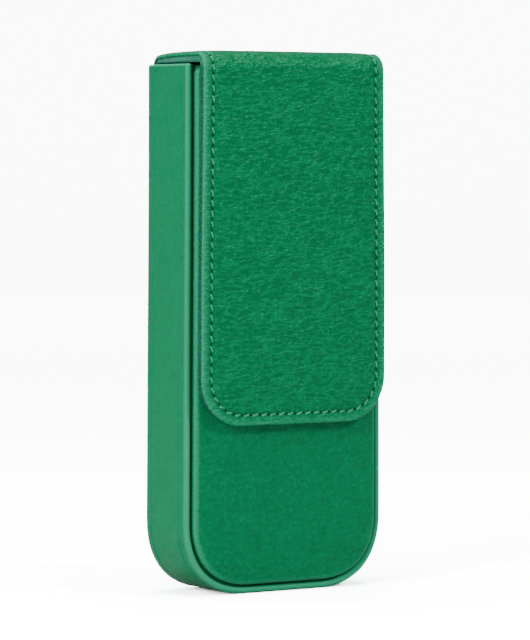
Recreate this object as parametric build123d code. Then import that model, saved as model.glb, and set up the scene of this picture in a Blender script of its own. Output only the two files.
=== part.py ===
from build123d import *
import os

# Slip-over leather pen case with a removable three-pen tray.
# Millimetres. +Z is up, the front faces -Y, and the origin is under the middle
# of the whole closed case, on the surface that it stands on.

# The gusset: one U-shaped band that makes both sides and the bottom
case_w = 70.6
case_h = 160.0
gusset_depth = 22.4
corner_r = 22.0
leather_t = 0.9
gusset_board_t = 1.3
gusset_lining_t = 0.5
rim_r = 0.75
rim_inner_bevel = 0.5

# The front and back panels, set inside the gusset's rim
panel_groove = 0.7
panel_proud = 1.4
panel_crown = 0.8
panel_foam_t = 0.7
panel_board_t = 1.0
panel_lining_t = 0.4
panel_edge_r = 1.1
panel_top_drop = 0.4

# The flap: leather over foam, suede over a thin board, sewn together
flap_side_inset = 2.6
flap_end_z = 51.4
flap_corner_r = 14.0
flap_gap = 0.35
flap_foam_t = 0.7
flap_board_t = 1.2
flap_suede_t = 0.8
flap_edge_r = 1.1
flap_suede_bevel = 0.5

# The soft spine that carries the flap over the mouth
mouth_gap = 0.45
spine_fall = 1.1
spine_crest_fall = 0.35
spine_crest_y = 3.0
spine_back_r = 3.6
spine_crest_r = 40.0
spine_front_r = 5.5
spine_end_drop = 3.0

# The hidden magnets in the flap and their steel keepers in the front
magnet_d = 10.0
magnet_t = 1.0
keeper_t = 0.6
magnet_x = 17.0
magnet_rise = 13.0

# The tray: a suede-covered trough with two ridges between three pens
tray_side_gap = 0.4
tray_face_gap = 0.3
tray_floor_gap = 0.3
tray_top_drop = 1.1
tray_wall_t = 4.0
tray_back_t = 2.4
tray_suede_t = 0.6
tray_rim_r = 1.7
tray_back_bevel = 1.0
tray_core_bevel = 0.5
ridge_w = 6.4
ridge_h = 12.6
ridge_top_drop = 14.0
ridge_end_r = 9.0

# Sizes that follow from the ones above.
half_depth = gusset_depth / 2
panel_stack = leather_t + panel_foam_t + panel_board_t + panel_lining_t
flap_stack = leather_t + flap_foam_t + flap_board_t + flap_suede_t
front_reach = half_depth + panel_proud + panel_crown + flap_gap + flap_stack
back_reach = half_depth + panel_proud
mid_y = (front_reach - back_reach) / 2
flap_w = case_w - 2 * flap_side_inset
wall_t = leather_t + gusset_board_t + gusset_lining_t
rim_w = leather_t + gusset_board_t
panel_inset = rim_w + panel_groove
panel_top = case_h - panel_top_drop
cavity_half = half_depth + panel_proud - panel_stack
spine_end_z = case_h - spine_end_drop
spine_top_z = case_h + mouth_gap + flap_stack
skin_t = leather_t + flap_foam_t


def u_face(inset, top):
    """The case's front outline moved inwards: open square top, two big bottom corners."""
    half_w = case_w / 2 - inset
    face = Pos(0, (top + inset) / 2) * Rectangle(2 * half_w, top - inset)
    corners = face.vertices().group_by(Axis.Y)[0]
    return fillet(corners, corner_r - inset)


def slab(face, y_front, y_back):
    """A flat outline drawn in X and Z, thickened from y_front to y_back."""
    plane = Plane(origin=(0, y_back, 0), x_dir=(1, 0, 0), z_dir=(0, -1, 0))
    return extrude(plane * face, amount=y_back - y_front)


def crowned(solid, y_edge, crown, half_w):
    """Keeps what lies behind a front face that swells by crown in the middle."""
    radius = (half_w**2 + crown**2) / (2 * crown)
    barrel = Cylinder(radius, 3 * case_h)
    return solid & (Pos(0, y_edge - crown + radius, 0) * barrel)


def side_edges(solid, y):
    """The edges of a slab that lie in the plane at y."""
    return solid.edges().filter_by(lambda e: abs(e.bounding_box().min.Y - y) < 1e-4
                                   and abs(e.bounding_box().max.Y - y) < 1e-4)


def edges_on(solid, y, face):
    """The edges in the plane at y that follow a face's outline, its open top left out."""
    line = Pos(0, y, 0) * (Plane.XZ * face.faces()[0].outer_wire())
    near = [e for e in side_edges(solid, y) if line.distance_to(e @ 0.5) < 1e-3]
    return [e for e in near if e.length > 2 * rim_w]


def save(shape, name):
    """Writes one sub-part."""
    export_step(shape, f"parts/{name}.step")


def gusset():
    """Board wrapped in leather outside and over its rims, suede inside."""
    top = case_h
    front = mid_y - half_depth
    back = mid_y + half_depth
    board = slab(u_face(leather_t, top - leather_t), front + leather_t, back - leather_t)
    board -= slab(u_face(rim_w, top + 1), front, back)
    band = slab(u_face(0, top), front, back)
    band -= slab(u_face(rim_w, top + 1), front - 1, back + 1)
    for y in (front, back):
        band = chamfer(edges_on(band, y, u_face(rim_w, top)), rim_inner_bevel)
        band = fillet(edges_on(band, y, u_face(0, top)), rim_r)
    leather = band - board
    inner = cavity_half
    lining = slab(u_face(rim_w, panel_top), mid_y - inner, mid_y + inner)
    lining -= slab(u_face(wall_t, top + 1), front, back)
    return {"gusset_board": board, "gusset_leather": leather, "gusset_lining": lining}


def panel_layers(y_rim, out, crown, top):
    """One panel's layers, from its inner face outwards. out is -1 to the front, +1 to the back."""
    def layer(inset, start, thick, height):
        near = y_rim + out * start
        far = y_rim + out * (start + thick)
        return slab(u_face(inset, height), min(near, far), max(near, far))
    inner = panel_proud - panel_stack
    lining = layer(rim_w, inner, panel_lining_t, panel_top)
    core_inset = panel_inset + leather_t
    core_top = top - leather_t
    board_at = inner + panel_lining_t
    board = layer(core_inset, board_at, panel_board_t, core_top)
    foam_at = board_at + panel_board_t
    foam = layer(core_inset, foam_at, panel_foam_t + crown, core_top)
    skin = layer(panel_inset, board_at, panel_proud - board_at + crown, top)
    return lining, board, foam, skin


def magnet_discs(y_front, thick):
    """Two discs, one towards each lower corner of the flap."""
    z = flap_end_z + magnet_rise
    disc = Cylinder(magnet_d / 2, thick, rotation=(90, 0, 0))
    y = y_front + thick / 2
    return Pos(-magnet_x, y, z) * disc, Pos(magnet_x, y, z) * disc


def front_panel():
    """Padded leather panel with soft edges and a steel keeper under each magnet."""
    y_rim = mid_y - half_depth
    half_w = case_w / 2 - panel_inset
    lining, board, foam, skin = panel_layers(y_rim, -1, panel_crown, panel_top)
    y_edge = y_rim - panel_proud
    foam = crowned(foam, y_edge + leather_t, panel_crown, half_w)
    skin = crowned(skin, y_edge, panel_crown, half_w)
    outer = skin.faces().sort_by(Axis.Y)[0].edges()
    skin = fillet(outer, panel_edge_r) - board - foam
    keepers = magnet_discs(y_edge + leather_t + panel_foam_t - keeper_t, keeper_t)
    for keeper in keepers:
        foam -= keeper
    return {
        "front_lining": lining,
        "front_board": board,
        "front_foam": foam,
        "front_leather": skin,
        "keeper_left": keepers[0],
        "keeper_right": keepers[1],
    }


def back_panel():
    """The same panel, flat, whose leather runs on upwards into the spine."""
    y_rim = mid_y + half_depth
    lining, board, foam, skin = panel_layers(y_rim, 1, 0, spine_end_z)
    taller = panel_layers(y_rim, 1, 0, panel_top)
    board = taller[1]
    outer = [e for e in side_edges(skin, y_rim + panel_proud)
             if e.bounding_box().max.Z < spine_end_z - 0.01 or e.length > case_h / 2]
    foam_up = slab(u_face(panel_inset + leather_t, spine_end_z),
                   y_rim + panel_proud - leather_t - panel_foam_t,
                   y_rim + panel_proud - leather_t)
    skin = fillet(outer, panel_edge_r) - foam_up
    skin -= slab(u_face(panel_inset + leather_t, case_h),
                 y_rim - panel_stack, y_rim + panel_proud - leather_t - panel_foam_t)
    return {
        "back_lining": lining,
        "back_board": board,
        "back_foam": foam_up,
        "back_leather": skin,
    }


def spine_line():
    """The spine's outer line in Y and Z: up the back, over the mouth and down the front."""
    y_back = mid_y + back_reach
    y_front = mid_y - front_reach
    z_back = spine_top_z - spine_fall
    z_crest = spine_top_z - spine_crest_fall
    points = [(y_back, flap_end_z), (y_back, z_back), (mid_y + spine_crest_y, z_crest),
              (y_front, spine_top_z), (y_front, flap_end_z)]
    return FilletPolyline(*points, radius=[spine_back_r, spine_crest_r, spine_front_r])


def spine():
    """Leather over foam outside, suede inside, bent over the mouth and down the front."""
    line = spine_line()
    outer = make_face([line, Line(line @ 1, line @ 0)])
    inner = offset(outer, amount=-skin_t)
    room = Pos(0, spine_end_z + case_h / 2) * Rectangle(4 * gusset_depth, case_h)
    face_y = mid_y - front_reach + flap_stack
    mouth_z = case_h + mouth_gap
    hollow = Pos(face_y + 2 * gusset_depth, mouth_z - case_h / 2) * Rectangle(
        4 * gusset_depth, case_h)
    corner = hollow.vertices().group_by(Axis.Y)[-1].sort_by(Axis.X)[0]
    hollow = fillet([corner], flap_edge_r)
    leather = extrude(Plane.YZ * ((outer - inner) & room), amount=flap_w / 2, both=True)
    suede = extrude(Plane.YZ * ((inner & room) - hollow), amount=flap_w / 2, both=True)
    path = Plane.YZ * line
    for side in (-1, 1):
        placed = Pos(side * flap_w / 2, 0, 0) * path
        edges = [e for e in leather.edges() if placed.distance_to(e @ 0.5) < 1e-3]
        leather = chamfer(edges, flap_edge_r * 0.6)
    return {"spine_leather": leather, "spine_suede": suede}


def flap_face(inset):
    """The flap's outline below the spine: square top, round bottom corners."""
    height = spine_end_z - flap_end_z - inset
    face = Pos(0, flap_end_z + inset + height / 2) * Rectangle(flap_w - 2 * inset, height)
    corners = face.vertices().group_by(Axis.Y)[0]
    return fillet(corners, flap_corner_r - inset)


def flap():
    """Leather over foam, sewn to a thin board wrapped in suede that holds the magnets."""
    y_out = mid_y - front_reach
    y_foam = y_out + leather_t
    y_seam = y_out + skin_t
    y_in = y_out + flap_stack
    foam = slab(flap_face(leather_t), y_foam, y_seam)
    leather = slab(flap_face(0), y_out, y_seam)
    edge = [e for e in side_edges(leather, y_out) if e.bounding_box().min.Z < spine_end_z - 0.01]
    leather = fillet(edge, flap_edge_r) - foam
    board = slab(flap_face(flap_suede_t), y_seam, y_seam + flap_board_t)
    suede = slab(flap_face(0), y_seam, y_in)
    edge = [e for e in side_edges(suede, y_in) if e.bounding_box().min.Z < spine_end_z - 0.01]
    suede = chamfer(edge, flap_suede_bevel) - board
    magnets = magnet_discs(y_seam + flap_board_t - magnet_t, magnet_t)
    for magnet in magnets:
        board -= magnet
    return {
        "flap_leather": leather,
        "flap_foam": foam,
        "flap_board": board,
        "flap_suede": suede,
        "magnet_left": magnets[0],
        "magnet_right": magnets[1],
    }


def tray():
    """Trough of board and foam covered in suede, open to the front and at the top."""
    side = wall_t + tray_side_gap
    floor = wall_t + tray_floor_gap
    lift = floor - side
    top = case_h - tray_top_drop
    y0 = mid_y - cavity_half + tray_face_gap
    y1 = mid_y + cavity_half - tray_face_gap

    def at(inset, height):
        return Pos(0, lift) * u_face(side + inset, height - lift)

    core_t = tray_wall_t - tray_suede_t
    y_pad = y1 - tray_back_t
    y_core = y_pad + tray_suede_t
    whole = slab(at(0, top), y0, y1)
    whole -= slab(at(tray_wall_t, top + 1), y0 - 1, y_pad)
    whole = fillet(side_edges(whole, y0), tray_rim_r)
    back = [e for e in side_edges(whole, y1) if e.bounding_box().min.Z < top - 1]
    whole = chamfer(back, tray_back_bevel)
    core = slab(at(tray_suede_t, top - tray_suede_t), y0 + tray_suede_t, y1 - tray_suede_t)
    core -= slab(at(core_t, top + 1), y0 - 1, y_core)
    core = chamfer(side_edges(core, y0 + tray_suede_t), tray_core_bevel)
    core = chamfer([e for e in side_edges(core, y1 - tray_suede_t)
                    if e.bounding_box().min.Z < top - 1], tray_core_bevel)
    pad = slab(at(tray_wall_t, top - tray_suede_t), y_pad, y_core)
    band = slab(at(core_t, top - tray_suede_t), y0 + tray_rim_r, y_core)
    band -= slab(at(tray_wall_t, top + 1), y0, y1)
    cover = whole - core - pad - band
    nodes = {"tray_core": core, "tray_cover": cover, "tray_pad": pad, "tray_band": band}
    nodes.update(ridges(whole, y_pad, floor + tray_wall_t, top))
    return nodes


def ridge_shape(x, y_base, z0, z1, inset):
    """One ridge: straight sides, round crest, and a top end that rolls down to the back."""
    half = ridge_w / 2 - inset
    crest = y_base - ridge_h + inset
    section = Pos(x, (y_base + crest) / 2) * Rectangle(2 * half, y_base - crest)
    section = fillet(section.vertices().group_by(Axis.Y)[0], half - 0.05)
    post = extrude(Pos(0, 0, z0) * section, amount=z1 - inset - z0)
    profile = Pos((y_base + crest) / 2, (z0 + z1 - inset) / 2) * Rectangle(
        y_base - crest, z1 - inset - z0)
    corner = profile.vertices().group_by(Axis.Y)[-1].sort_by(Axis.X)[0]
    profile = fillet([corner], ridge_end_r - inset)
    return post & (Pos(x, 0, 0) * extrude(Plane.YZ * profile, amount=ridge_w, both=True))


def ridges(trough, y_base, z_floor, top):
    """Two covered ridges that divide the trough into three equal channels."""
    inner_half = case_w / 2 - wall_t - tray_side_gap - tray_wall_t
    channel = (2 * inner_half - 2 * ridge_w) / 3
    x = channel / 2 + ridge_w / 2
    nodes = {}
    for side, name in ((-1, "left"), (1, "right")):
        z1 = top - ridge_top_drop
        core = ridge_shape(side * x, y_base, z_floor - 1, z1, tray_suede_t) - trough
        cover = ridge_shape(side * x, y_base, z_floor - 1, z1, 0) - trough - core
        nodes[f"ridge_core_{name}"] = core
        nodes[f"ridge_cover_{name}"] = cover
    return nodes


def main():
    """Builds and writes every sub-part."""
    os.makedirs("parts", exist_ok=True)
    nodes = {}
    for group in (gusset, front_panel, back_panel, spine, flap, tray):
        nodes.update(group())
    for name, shape in nodes.items():
        save(shape, name)
    print(len(nodes), "sub-parts")


main()
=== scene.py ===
# %% [markdown]
# # A leather pen case with a fold-over flap and a lift-out suede tray
#
# The real case is a stiff upright box. One band of board, wrapped in smooth green leather, makes
# both sides and the bottom, and a padded panel closes it at the front and at the back. The back
# panel's leather runs on over the mouth as a soft spine and comes down the front as a padded flap,
# stitched all round to a suede lining. Inside stands a suede tray with two ridges for three pens.
#
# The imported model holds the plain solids. This lesson dresses them: each soft layer is made again
# as a worked-out surface in the solid's own place, and each gets the finish of its real material.
# We start by loading the frame, because every later size is read from it.

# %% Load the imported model
import bpy
import bmesh
import numpy as np
from mathutils import Matrix, Vector


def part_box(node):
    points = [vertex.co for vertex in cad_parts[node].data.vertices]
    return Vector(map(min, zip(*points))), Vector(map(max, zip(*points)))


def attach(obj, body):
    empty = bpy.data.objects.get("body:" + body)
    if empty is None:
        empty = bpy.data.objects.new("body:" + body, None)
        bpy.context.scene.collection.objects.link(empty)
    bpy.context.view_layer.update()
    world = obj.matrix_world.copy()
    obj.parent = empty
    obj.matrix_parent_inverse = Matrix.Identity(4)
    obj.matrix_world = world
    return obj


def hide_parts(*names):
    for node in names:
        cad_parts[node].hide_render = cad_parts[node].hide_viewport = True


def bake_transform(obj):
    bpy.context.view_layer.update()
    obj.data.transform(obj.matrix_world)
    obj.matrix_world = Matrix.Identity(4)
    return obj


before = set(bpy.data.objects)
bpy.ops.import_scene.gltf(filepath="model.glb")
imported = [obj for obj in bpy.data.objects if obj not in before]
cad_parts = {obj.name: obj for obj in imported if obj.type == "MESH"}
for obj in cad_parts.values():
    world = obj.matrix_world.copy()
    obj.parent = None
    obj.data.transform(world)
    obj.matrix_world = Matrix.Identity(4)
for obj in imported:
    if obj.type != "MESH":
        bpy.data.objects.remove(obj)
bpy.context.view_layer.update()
MM = 0.001

# %% [markdown]
# Sizes come from the solids' boxes, in millimetres, so that a piece always lands where its solid
# is. Only sizes that a box can't tell are written out: the radii of the lower corners, the
# thickness of the gusset and of the tray's walls, the groove round a panel, how far a panel stands
# out of the rim, the gap over the mouth, and the spine's falls and radii from front to back.

# %% Read the sizes off the solids
def span(node):
    """The lowest and highest corner of a solid, in millimetres."""
    low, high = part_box(node)
    return np.array(low) / MM, np.array(high) / MM


CORNER_R, FLAP_R = 22.0, 14.0
RIM_T, WALL_T, GROOVE = 2.2, 4.0, 0.7
PANEL_PROUD, MOUTH_GAP = 1.4, 0.45
CREST_Y, CREST_FALL, BACK_FALL = 3.0, 0.35, 1.1
SPINE_RADII = [5.5, 40.0, 3.6]
gusset_low, gusset_high = span("gusset_leather")
CASE_HALF = gusset_high[0]
RIM_FRONT, RIM_BACK = gusset_low[1], gusset_high[1]
CASE_TOP = gusset_high[2]
panel_low, panel_high = span("front_leather")
PANEL_HALF, PANEL_LOW, PANEL_TOP = panel_high[0], panel_low[2], panel_high[2]
flap_low, flap_high = span("flap_leather")
FLAP_HALF, FLAP_LOW = flap_high[0], flap_low[2]
FLAP_FACE, FLAP_SEAM = flap_low[1], flap_high[1]
FLAP_IN = span("flap_suede")[1][1]
BACK_FACE = span("back_leather")[1][1]
MOUTH_Z = CASE_TOP + MOUTH_GAP
LINE_TOP = MOUTH_Z + FLAP_IN - FLAP_FACE
print(f"case {2 * CASE_HALF:.1f} wide, flap {2 * FLAP_HALF:.1f} wide,",
      f"faces {FLAP_FACE:.2f} to {BACK_FACE:.2f}")

# %% [markdown]
# Nearly every layer of this case follows one outline: a U with two round corners. A layer can be
# drawn as rings that step in from that outline, as a saddler skives a panel's edge in ever smaller
# outlines. The rings give clean, even faces along the edges, where all the detail is, and few in
# the middle. A point of a ring is its corner's centre plus what is left of the radius, outwards.

# %% Outlines and rings
def outline(half, radius, sides, top_radius=0.0, corner=18, base=22):
    """A U-shaped outline as centres, outward directions and radii, one row per point.

    It runs down the left side through the heights in `sides`, round the left corner, along the
    base at height 0 and up the right side. With a top radius it also closes across the top.
    A point at inset d is centre + (radius - d) * direction, for straight parts and corners alike.
    """
    turn = np.linspace(0, np.pi / 2, corner + 2)[1:-1]
    run = np.linspace(-1, 1, base) * (half - radius)
    left = [np.stack([np.full(len(sides), radius - half), sides[::-1]], 1),
            np.tile([radius - half, radius], (corner, 1))]
    left_way = [np.tile([-1.0, 0.0], (len(sides), 1)), np.stack([-np.cos(turn), -np.sin(turn)], 1)]
    middle = np.stack([run, np.full(base, radius)], 1)
    flip = np.array([-1.0, 1.0])
    centres = np.concatenate([*left, middle, left[1][::-1] * flip, left[0][::-1] * flip])
    ways = np.concatenate([*left_way, np.tile([0.0, -1.0], (base, 1)),
                           left_way[1][::-1] * flip, left_way[0][::-1] * flip])
    radii = np.full(len(centres), radius)
    if top_radius:
        top = sides[-1] + top_radius
        across = np.linspace(1, -1, base) * (half - top_radius)
        knee = np.tile([half - top_radius, top - top_radius], (corner, 1))
        line = np.stack([across, np.full(base, top - top_radius)], 1)
        centres = np.concatenate([centres, knee, line, knee[::-1] * flip])
        knee_way = np.stack([np.cos(turn), np.sin(turn)], 1)
        ways = np.concatenate([ways, knee_way, np.tile([0.0, 1.0], (base, 1)), knee_way[::-1] * flip])
        radii = np.concatenate([radii, np.full(2 * corner + base, top_radius)])
    return centres, ways, radii


def rings(shape, insets, pulls, low, high):
    """Rings of an outline: row k is moved in by insets[k], then pulled by the share pulls[k]
    towards the middle line x = 0 between the heights low and high."""
    centres, ways, radii = shape
    insets, pulls = np.asarray(insets)[:, None], np.asarray(pulls)[:, None]
    x = centres[None, :, 0] + (radii[None] - insets) * ways[None, :, 0]
    v = centres[None, :, 1] + (radii[None] - insets) * ways[None, :, 1]
    return x * (1 - pulls), v + pulls * (np.clip(v, low, high) - v)


def stretches(places, counts):
    """Heights in stretches: counts[i] evenly spaced ones from places[i] to places[i + 1]."""
    runs = [np.linspace(*run) for run in zip(places, places[1:], counts)]
    return np.unique(np.concatenate(runs))


def edge_distance(x, v, half, radius):
    """How far a point is in from the U-shaped outline: round a corner it is the radius less the
    distance to the corner's centre, and elsewhere the distance to the nearest side or the base."""
    side = half - np.abs(x)
    round_part = radius - np.hypot(np.maximum(radius - side, 0), np.maximum(radius - v, 0))
    return np.where((side < radius) & (v < radius), round_part, np.minimum(side, np.maximum(v, 0)))


def ease(t):
    """Rises from 0 to 1 and levels off softly: 1 - (1 - t) squared, held at 1 beyond."""
    t = np.clip(t, 0, 1)
    return 1 - (1 - t) ** 2


def smooth(t):
    """The S-shaped step 3t^2 - 2t^3 from 0 to 1."""
    t = np.clip(t, 0, 1)
    return t * t * (3 - 2 * t)


def foot(points):
    """Spreads the case's pieces towards its foot, where the real one is a little wider and its
    corners squarer than a circle. x grows by up to 1.8% below a height of 150 mm. In a corner,
    points move out from its centre by 0.9 mm times the square of their share of the radius and
    the squared sine of twice their angle, which is nothing at both ends of the corner."""
    spread, spread_top, square = 0.018, 150.0, 0.9
    x, y, z = points[..., 0], points[..., 1], points[..., 2]
    wide = x * (1 + spread * smooth((spread_top - z) / spread_top))
    across, below = np.abs(x) - (CASE_HALF - CORNER_R), CORNER_R - z
    angle = np.arctan2(np.maximum(below, 0), np.maximum(across, 1e-9))
    share = np.hypot(np.maximum(across, 0), np.maximum(below, 0)) / CORNER_R
    push = square * share**2 * np.sin(2 * angle) ** 2
    return np.stack([wide + np.sign(x) * push * np.cos(angle), y, z - push * np.sin(angle)], -1)


def waves(x, v, scale, seed):
    """A slow, random-looking swell between about -1 and 1: eight sine waves of mixed directions
    whose lengths lie round `scale` millimetres, added up."""
    rng = np.random.default_rng(seed)
    angle, phase = rng.uniform(0, 2 * np.pi, (2, 8))
    length = scale * rng.uniform(0.7, 1.6, 8)
    along = np.cos(angle) * x[..., None] + np.sin(angle) * v[..., None]
    return np.sin(2 * np.pi * along / length + phase).sum(-1) / 4


print("outline of the flap has", len(outline(FLAP_HALF, FLAP_R, np.linspace(FLAP_R, 100, 40))[0]), "points")

# %% [markdown]
# A grid of points becomes a mesh with one face per cell. Three things are kept with it: `lay`, the
# place of each point on the flat, unbent leather, so that a grain drawn with it follows the
# leather round the bends and stays put when the flap opens; `edge`, how near a point is to a
# turned edge, for the paler colour there, partly wear and partly a painted highlight (a darker
# colour, painted shade, where it is below 0); and, for an open outline, a cap over each end.

# %% Grids to meshes
def cells(rows, columns, closed_rows=False, closed_columns=False):
    """The four corners of each cell of a grid whose points are numbered row by row."""
    r = np.arange(rows if closed_rows else rows - 1)[:, None]
    c = np.arange(columns if closed_columns else columns - 1)[None]
    r2, c2 = (r + 1) % rows, (c + 1) % columns
    corners = [r * columns + c, r * columns + c2, r2 * columns + c2, r2 * columns + c]
    return np.stack(corners, -1).reshape(-1, 4)


def make_piece(name, points, lay, faces, material, edge=None, weld=True):
    """Writes points and faces, all in millimetres, into a mesh object whose normals face out."""
    mesh = bpy.data.meshes.new(name)
    points = np.asarray(points, float).reshape(-1, 3) * MM
    mesh.from_pydata(points, [], [list(map(int, f)) for f in faces])
    held = mesh.attributes.new("lay", "FLOAT_VECTOR", "POINT")
    held.data.foreach_set("vector", (np.asarray(lay, float).reshape(-1, 3) * MM).ravel())
    wear_and_painted_light = mesh.attributes.new("edge", "FLOAT", "POINT")
    wear_and_painted_light.data.foreach_set("value", np.zeros(len(points)) if edge is None else np.asarray(edge, float).ravel())
    if weld:
        work = bmesh.new()
        work.from_mesh(mesh)
        bmesh.ops.remove_doubles(work, verts=work.verts, dist=1e-6)
        bmesh.ops.recalc_face_normals(work, faces=work.faces)
        work.to_mesh(mesh)
        work.free()
    mesh.shade_smooth()
    mesh.set_sharp_from_angle(angle=np.radians(55))
    piece = bpy.data.objects.new(name, mesh)
    bpy.context.scene.collection.objects.link(piece)
    mesh.materials.append(material)
    print(f"{name}: {len(mesh.vertices)} points, {len(mesh.polygons)} faces")
    return piece


def shell(name, x, v, n, place, material, closed, edge=None, ring_rows=False, lay=None):
    """A closed skin from a grid: `place` turns (x, v, n) into points. An open outline gets a cap
    over each end, or one cap from end to end where the rows run from inside to outside."""
    rows, columns = x.shape
    n = np.broadcast_to(n, x.shape)
    points = place(x, v, n)
    lay = points if lay is None else np.stack(np.broadcast_arrays(*lay), -1)
    faces = cells(rows, columns, closed_rows=ring_rows, closed_columns=closed).tolist()
    first, last = np.arange(rows) * columns, np.arange(rows) * columns + columns - 1
    if not closed and ring_rows:
        faces += [first.tolist(), last[::-1].tolist()]
    elif not closed:
        faces.append(first.tolist() + last[::-1].tolist())
    return make_piece(name, points, lay, faces, material, edge)


# %% [markdown]
# ## Finishes
#
# The colours are read from the case as sRGB hex values, and one function turns them to the
# linear values that the shader works with.

# %% Colours and one node helper
def linear(code):
    """An sRGB hex colour as linear red, green, blue and alpha."""
    c = np.array([int(code[i:i + 2], 16) for i in (1, 3, 5)]) / 255
    c = np.where(c <= 0.04045, c / 12.92, ((c + 0.055) / 1.055) ** 2.4)
    return (*c.tolist(), 1.0)


def add(tree, kind, values=None, links=None, stops=(), **settings):
    """Adds one node with its settings, its socket values, the links into it and a ramp's stops."""
    made = tree.nodes.new(kind)
    for key, value in settings.items():
        setattr(made, key, value)
    for key, value in (values or {}).items():
        made.inputs[key].default_value = value
    for key, source in (links or {}).items():
        tree.links.new(source, made.inputs[key])
    for i, (place, code) in enumerate(stops):
        stop = made.color_ramp.elements[i] if i < 2 else made.color_ramp.elements.new(place)
        stop.position, stop.color = place, linear(code)
    return made


def new_material(name):
    """An empty material with only its output node."""
    material = bpy.data.materials.new(name)
    material.use_nodes = True
    material.node_tree.nodes.clear()
    return material, material.node_tree, add(material.node_tree, "ShaderNodeOutputMaterial")


# %% [markdown]
# ### Smooth green leather
#
# The case is covered in chrome-tanned leather with a thin pigmented finish: the hide is plated
# smooth, then softened, so it keeps a fine pebble of about 1.2 mm and short creases of 2 to 5 mm
# where it was bent. The finish gives a soft gloss, a roughness near 0.4 at the usual 1.5 index.
# The grain could be modelled, but at a tenth of a millimetre high it only shows in the light, so
# a bump does. It is drawn a little coarser than real, so that it shows at this picture's scale.

# %% Leather
def leather(name, dark, mid, light, pale, shine, grain, crease, rough, deep):
    """Pebble and creases as bump, with the colour a little paler on the raised parts, partly a
    painted highlight on the tops of the grain and creases, slow mottling over some 9 mm, and a
    paler tone along turned edges, partly wear and partly a painted highlight. A crease is a thin
    ridge where a stretched noise passes its mean. The gloss takes the tint `shine`, because the
    hide is dyed through and its finish is thin. The height's mean is near 0.58 - 0.35 * grain +
    0.5 * crease, so the colours are spread evenly about it."""
    material, tree, out = new_material(name)
    flat = add(tree, "ShaderNodeAttribute", attribute_name="lay").outputs["Vector"]
    wear_and_painted_light = add(tree, "ShaderNodeAttribute", attribute_name="edge").outputs["Fac"]
    wander = add(tree, "ShaderNodeTexNoise", {"Scale": 1000 / 6.0, "Detail": 2.0}, {"Vector": flat})
    drift = add(tree, "ShaderNodeVectorMath", {1: (0.5, 0.5, 0.5)}, {0: wander.outputs["Color"]},
                operation="SUBTRACT")
    warped = add(tree, "ShaderNodeVectorMath", {1: (0.0014, 0.0014, 0.0014)},
                 {0: drift.outputs[0], 2: flat}, operation="MULTIPLY_ADD")
    pebble = add(tree, "ShaderNodeTexVoronoi", {"Scale": 1000 / 1.25, "Smoothness": 0.6},
                 {"Vector": warped.outputs[0]}, feature="SMOOTH_F1")
    turned = add(tree, "ShaderNodeMapping", {"Rotation": (0.0, 0.0, 0.22), "Scale": (0.4, 1.25, 1.0)},
                 {"Vector": warped.outputs[0]})
    swell = add(tree, "ShaderNodeTexNoise", {"Scale": 1000 / 1.9, "Detail": 2.0, "Roughness": 0.5},
                {"Vector": turned.outputs[0]})
    level = add(tree, "ShaderNodeMath", {1: 0.5}, {0: swell.outputs[0]}, operation="SUBTRACT")
    level = add(tree, "ShaderNodeMath", None, {0: level.outputs[0]}, operation="ABSOLUTE")
    creases = add(tree, "ShaderNodeMapRange", {"From Min": 0.11, "From Max": 0.0}, {0: level.outputs[0]},
                  interpolation_type="SMOOTHSTEP")
    fine = add(tree, "ShaderNodeTexNoise", {"Scale": 1000 / 0.55, "Detail": 2.0}, {"Vector": flat})
    slow = add(tree, "ShaderNodeTexNoise", {"Scale": 1000 / 9.0, "Detail": 3.0}, {"Vector": flat})
    up = add(tree, "ShaderNodeMath", {1: -grain, 2: 0.5}, {0: pebble.outputs["Distance"]},
             operation="MULTIPLY_ADD")
    up = add(tree, "ShaderNodeMath", {1: crease}, {0: creases.outputs[0], 2: up.outputs[0]},
             operation="MULTIPLY_ADD")
    up = add(tree, "ShaderNodeMath", {1: 0.16}, {0: fine.outputs[0], 2: up.outputs[0]},
             operation="MULTIPLY_ADD")
    centre = 0.58 - 0.35 * grain + 0.5 * crease
    spread = add(tree, "ShaderNodeMapRange", {"From Min": centre - 0.5, "From Max": centre + 0.5},
                 {0: up.outputs[0]})
    tone = add(tree, "ShaderNodeMath", {1: 0.3, 2: -0.15}, {0: slow.outputs[0]}, operation="MULTIPLY_ADD")
    tone = add(tree, "ShaderNodeMath", {}, {0: spread.outputs[0], 1: tone.outputs[0]}, operation="ADD")
    # The raised parts get the paler colours: partly the grain's own tone, partly a painted highlight on the
    # tops of the grain and creases.
    base = add(tree, "ShaderNodeValToRGB", links={0: tone.outputs[0]},
               stops=[(0.15, dark), (0.5, mid), (0.85, light)])
    lift = add(tree, "ShaderNodeMath", {1: 0.5}, {0: wear_and_painted_light}, operation="MULTIPLY")
    colour = add(tree, "ShaderNodeMix", {7: linear(pale)}, {0: lift.outputs[0], 6: base.outputs[0]},
                 data_type="RGBA")
    gloss = add(tree, "ShaderNodeMapRange", {"To Min": rough + 0.08, "To Max": rough - 0.06},
                {0: spread.outputs[0]})
    bump = add(tree, "ShaderNodeBump", {"Strength": 1.0, "Distance": deep * MM}, {"Height": up.outputs[0]})
    skin = add(tree, "ShaderNodeBsdfPrincipled",
               {"IOR": 1.5, "Specular IOR Level": 0.42, "Specular Tint": linear(shine)},
               {"Base Color": colour.outputs[2], "Roughness": gloss.outputs[0], "Normal": bump.outputs[0]})
    tree.links.new(skin.outputs[0], out.inputs[0])
    return material


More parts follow.
